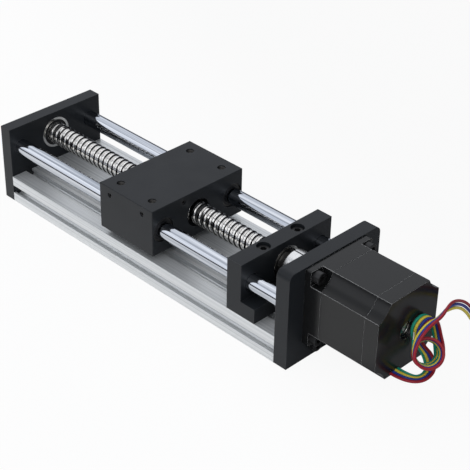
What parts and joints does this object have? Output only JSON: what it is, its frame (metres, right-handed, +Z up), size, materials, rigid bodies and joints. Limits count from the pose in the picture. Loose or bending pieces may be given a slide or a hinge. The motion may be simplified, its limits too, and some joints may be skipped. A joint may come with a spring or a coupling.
{
  "type": "ball screw linear module",
  "caption": "Motorised ball screw linear stage: silver extruded base, black end plates, chromed guide rods, black bored carriage, jaw coupling and square stepper motor.",
  "frame": {"origin": "centre of the module's length and width on the surface that the base stands on", "axes": "+X along the screw from the idle end towards the motor, +Z up through the carriage's top face, +Y across the base, away from the side that faces a viewer who has the motor on the right"},
  "size_m": [0.3814, 0.1368, 0.072],
  "materials": {
    "silver_anodised": "satin clear anodised",
    "black_anodised": "satin black anodised",
    "chromed_rod": "polished hard chrome",
    "ground_steel": "ground bright steel",
    "bearing_steel": "ground bright steel",
    "black_fastener": "black oxide",
    "seal_black": "matt rubber",
    "motor_black": "semi-gloss black",
    "lamination_steel": "black coated laminations",
    "winding_copper": "enamelled copper",
    "coupling_silver": "turned, clear anodised",
    "spider_elastomer": "moulded polyurethane",
    "lead_red": "lead insulation",
    "lead_blue": "lead insulation",
    "lead_yellow": "lead insulation",
    "lead_green": "lead insulation"
  },
  "bodies": {
    "frame": {"base_extrusion": "silver_anodised", "end_plate": "black_anodised", "motor_plate": "black_anodised", "support_block": "black_anodised", "guide_rod_front": "chromed_rod", "guide_rod_rear": "chromed_rod", "end_plate_screws": "black_fastener", "rod_end_screws": "black_fastener", "motor_plate_screws": "black_fastener", "support_block_screws": "black_fastener", "end_bearing_outer": "bearing_steel", "end_bearing_shields": "seal_black", "support_bearing_outers": "bearing_steel", "support_bearing_shields": "seal_black", "motor_flange": "motor_black", "motor_stator": "lamination_steel", "motor_windings": "winding_copper", "motor_rear_cap": "motor_black", "motor_bearing_outers": "bearing_steel", "motor_bearing_shields": "seal_black", "motor_mount_screws": "black_fastener", "motor_lead_grommet": "seal_black", "lead_blue": "lead_blue", "lead_green": "lead_green", "lead_red": "lead_red", "lead_yellow": "lead_yellow"},
    "rotor": {"ball_screw": "ground_steel", "lock_nut": "ground_steel", "retaining_ring": "ground_steel", "end_bearing_inner": "bearing_steel", "support_bearing_inners": "bearing_steel", "coupling_hub_screw_side": "coupling_silver", "coupling_hub_motor_side": "coupling_silver", "coupling_spider": "spider_elastomer", "coupling_clamp_screws": "black_fastener", "motor_shaft": "ground_steel", "motor_rotor": "lamination_steel", "motor_bearing_inners": "bearing_steel"},
    "carriage": {"slider_block": "black_anodised", "ball_nut": "ground_steel", "nut_screws": "black_fastener", "nut_wipers": "seal_black", "linear_bearing_front_end": "bearing_steel", "linear_bearing_front_motor": "bearing_steel", "linear_bearing_rear_end": "bearing_steel", "linear_bearing_rear_motor": "bearing_steel", "linear_bearing_seals": "seal_black", "slider_set_screws": "black_fastener", "slider_plug": "black_fastener"}
  },
  "joints": [
    {"name": "screw_spin", "type": "hinge", "parent": "frame", "child": "rotor", "pos_m": [0, 0, 0.0425], "axis": [1, 0, 0], "range_deg": [-5025.6, 7214.4]},
    {"name": "carriage_slide", "type": "slide", "parent": "frame", "child": "carriage", "axis": [1, 0, 0], "range_m": [-0.1002, 0.0698]}
  ],
  "couplings": [
    {"joint": "carriage_slide", "follows": "screw_spin", "m_per_rad": -0.00079577}
  ]
}
